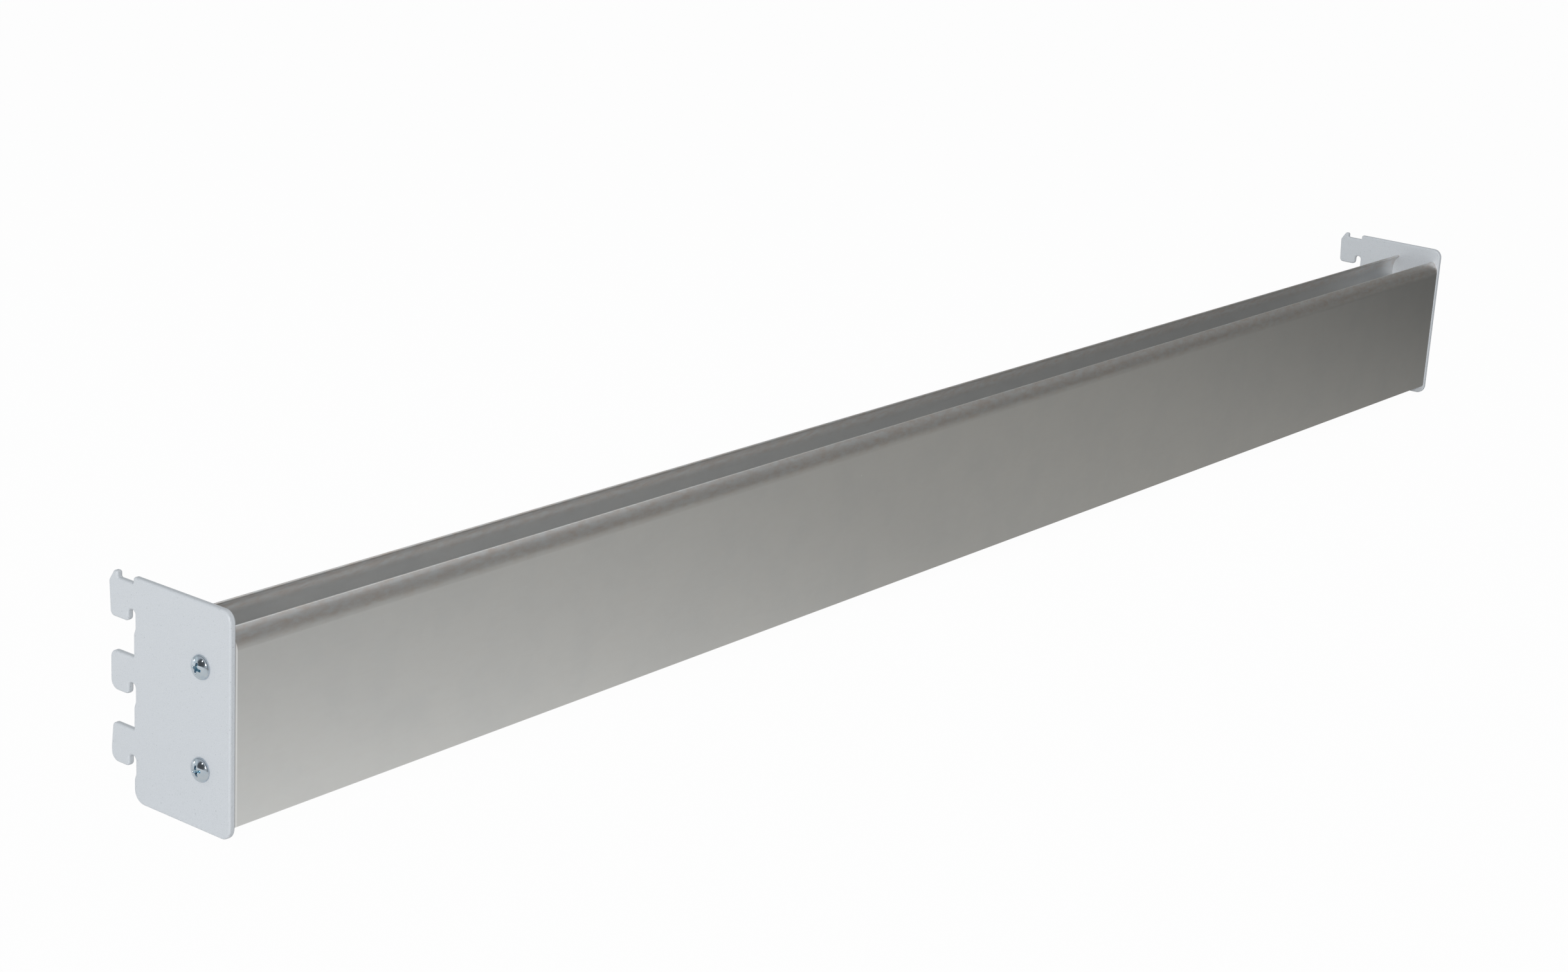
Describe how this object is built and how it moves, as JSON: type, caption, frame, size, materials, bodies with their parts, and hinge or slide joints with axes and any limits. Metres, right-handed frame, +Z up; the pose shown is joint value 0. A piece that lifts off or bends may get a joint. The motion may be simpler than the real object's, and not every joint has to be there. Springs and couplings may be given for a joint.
{
  "type": "bin rail",
  "caption": "Straight channel rail with an open, inward-curled top, screwed between two hooked end plates that hang in slotted uprights.",
  "frame": {"origin": "middle of the footprint, on the surface that the end plates stand on", "axes": "+X along the rail, +Y from the rail's front face back to the hooks, +Z up as hung"},
  "size_m": [1.0056, 0.0693, 0.0927],
  "materials": {
    "rail_aluminium": "satin anodised extrusion",
    "plate_powder_coat": "light grey powder coat, fine satin texture",
    "screw_zinc": "bright zinc plating"
  },
  "bodies": {
    "root": {"rail": "rail_aluminium", "left_end_plate": "plate_powder_coat", "right_end_plate": "plate_powder_coat", "left_upper_screw": "screw_zinc", "left_lower_screw": "screw_zinc", "right_upper_screw": "screw_zinc", "right_lower_screw": "screw_zinc"}
  },
  "joints": []
}
